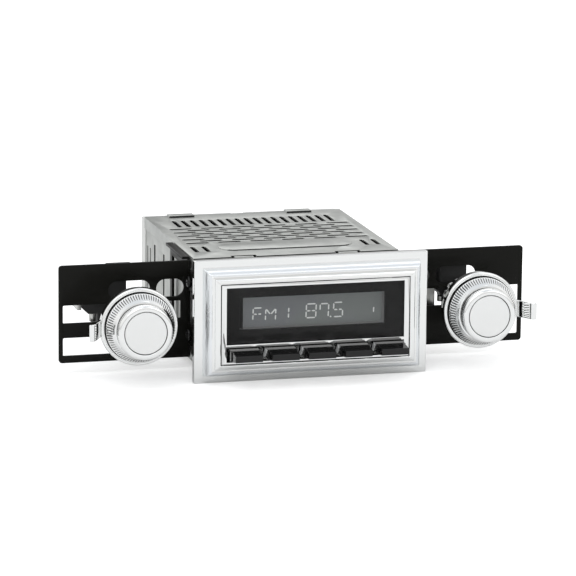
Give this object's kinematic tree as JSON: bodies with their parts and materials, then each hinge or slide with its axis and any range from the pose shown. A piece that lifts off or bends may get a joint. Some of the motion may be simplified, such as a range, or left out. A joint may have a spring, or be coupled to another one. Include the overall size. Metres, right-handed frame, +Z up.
{
  "type": "car radio",
  "caption": "Shaft-mount car radio with a chrome bezel, digital display, preset keys, two knobs with lever rings on slotted side brackets, and a finned rear.",
  "frame": {"origin": "centre of the bezel's back face, where it seats on the dashboard", "axes": "+X to the right seen from the driver's seat, +Y into the dashboard, +Z up"},
  "size_m": [0.2222, 0.1707, 0.057],
  "materials": {
    "chrome": "polished chrome plate",
    "knob_disc": "fine satin spun aluminium",
    "galvanised": "bright zinc-plated sheet steel",
    "black_steel": "satin black coating",
    "screw_steel": "zinc-plated steel",
    "aluminium": "matt bead-blasted aluminium",
    "black_gloss": "gloss black moulded",
    "black_matte": "satin black moulded",
    "lens": "clear acrylic window",
    "lcd": "smoky liquid crystal panel",
    "light_guide": "frosted acrylic",
    "board": "green solder mask",
    "white_plastic": "natural nylon",
    "tin": "tin-plated steel",
    "fuse_orange": "translucent coloured fuse body",
    "brass": "nickel-free brass"
  },
  "bodies": {
    "chassis": {"bezel": "chrome", "bezel_clips": "screw_steel", "nose_trim": "chrome", "nose_housing": "black_matte", "display_lens": "lens", "display_mask": "black_gloss", "lcd_panel": "lcd", "light_guide": "light_guide", "display_board": "board", "key_switches": "black_matte", "board_connector": "white_plastic", "chassis_tray": "galvanised", "top_cover": "galvanised", "front_panel": "galvanised", "main_board": "board", "board_standoffs": "brass", "board_screws": "screw_steel", "tuner_can": "tin", "amplifier_chip": "black_matte", "board_capacitors": "black_gloss", "heat_sink": "aluminium", "heat_sink_screws": "screw_steel", "rear_stud": "screw_steel", "antenna_socket": "tin", "harness_connector": "black_matte", "audio_sockets": "black_gloss", "fuse_holder": "black_matte", "blade_fuse": "fuse_orange", "left_bracket_screws": "screw_steel", "right_bracket_screws": "screw_steel"},
    "key_1": {"preset_key_1": "black_gloss"},
    "key_2": {"preset_key_2": "black_gloss"},
    "key_3": {"preset_key_3": "black_gloss"},
    "key_4": {"preset_key_4": "black_gloss"},
    "key_5": {"preset_key_5": "black_gloss"},
    "left_bracket_arm": {"left_bracket": "black_steel"},
    "left_carriage": {"left_control_housing": "black_matte", "left_encoder": "tin", "left_bush": "chrome", "left_lock_washer": "chrome", "left_shaft_nut": "chrome"},
    "left_lever": {"left_outer_shaft": "screw_steel", "left_lever_ring": "chrome"},
    "left_plunger": {"left_push_plunger": "white_plastic"},
    "left_knob_shaft": {"left_inner_shaft": "screw_steel", "left_knob": "chrome", "left_knob_disc": "knob_disc"},
    "right_bracket_arm": {"right_bracket": "black_steel"},
    "right_carriage": {"right_control_housing": "black_matte", "right_encoder": "tin", "right_bush": "chrome", "right_lock_washer": "chrome", "right_shaft_nut": "chrome"},
    "right_lever": {"right_outer_shaft": "screw_steel", "right_lever_ring": "chrome"},
    "right_plunger": {"right_push_plunger": "white_plastic"},
    "right_knob_shaft": {"right_inner_shaft": "screw_steel", "right_knob": "chrome", "right_knob_disc": "knob_disc"}
  },
  "joints": [
    {"name": "key_1_press", "type": "slide", "parent": "chassis", "child": "key_1", "axis": [0, 1, 0], "range_m": [0, 0.0015], "stiffness_N_per_m": 300, "springref_m": -0.0006},
    {"name": "key_2_press", "type": "slide", "parent": "chassis", "child": "key_2", "axis": [0, 1, 0], "range_m": [0, 0.0015], "stiffness_N_per_m": 300, "springref_m": -0.0006},
    {"name": "key_3_press", "type": "slide", "parent": "chassis", "child": "key_3", "axis": [0, 1, 0], "range_m": [0, 0.0015], "stiffness_N_per_m": 300, "springref_m": -0.0006},
    {"name": "key_4_press", "type": "slide", "parent": "chassis", "child": "key_4", "axis": [0, 1, 0], "range_m": [0, 0.0015], "stiffness_N_per_m": 300, "springref_m": -0.0006},
    {"name": "key_5_press", "type": "slide", "parent": "chassis", "child": "key_5", "axis": [0, 1, 0], "range_m": [0, 0.0015], "stiffness_N_per_m": 300, "springref_m": -0.0006},
    {"name": "left_bracket_slide", "type": "slide", "parent": "chassis", "child": "left_bracket_arm", "axis": [0, 1, 0], "range_m": [-0.0012, 0.003]},
    {"name": "left_shaft_adjust", "type": "slide", "parent": "left_bracket_arm", "child": "left_carriage", "axis": [1, 0, 0], "range_m": [-0.012, 0.0063]},
    {"name": "left_lever_turn", "type": "hinge", "parent": "left_carriage", "child": "left_lever", "pos_m": [-0.0799, 0, -0.0012], "axis": [0, 1, 0], "range_deg": [-20, 20], "stiffness_Nm_per_rad": 0.08},
    {"name": "left_knob_press", "type": "slide", "parent": "left_carriage", "child": "left_plunger", "axis": [0, 1, 0], "range_m": [0, 0.0008], "stiffness_N_per_m": 900, "springref_m": -0.0005},
    {"name": "left_knob_turn", "type": "hinge", "parent": "left_plunger", "child": "left_knob_shaft", "pos_m": [-0.0799, 0, -0.0012], "axis": [0, 1, 0], "continuous": true},
    {"name": "right_bracket_slide", "type": "slide", "parent": "chassis", "child": "right_bracket_arm", "axis": [0, 1, 0], "range_m": [-0.0012, 0.003]},
    {"name": "right_shaft_adjust", "type": "slide", "parent": "right_bracket_arm", "child": "right_carriage", "axis": [1, 0, 0], "range_m": [-0.0081, 0.012]},
    {"name": "right_lever_turn", "type": "hinge", "parent": "right_carriage", "child": "right_lever", "pos_m": [0.0817, 0, -0.0012], "axis": [0, 1, 0], "range_deg": [-20, 20], "stiffness_Nm_per_rad": 0.08},
    {"name": "right_knob_press", "type": "slide", "parent": "right_carriage", "child": "right_plunger", "axis": [0, 1, 0], "range_m": [0, 0.0008], "stiffness_N_per_m": 900, "springref_m": -0.0005},
    {"name": "right_knob_turn", "type": "hinge", "parent": "right_plunger", "child": "right_knob_shaft", "pos_m": [0.0817, 0, -0.0012], "axis": [0, 1, 0], "continuous": true}
  ]
}
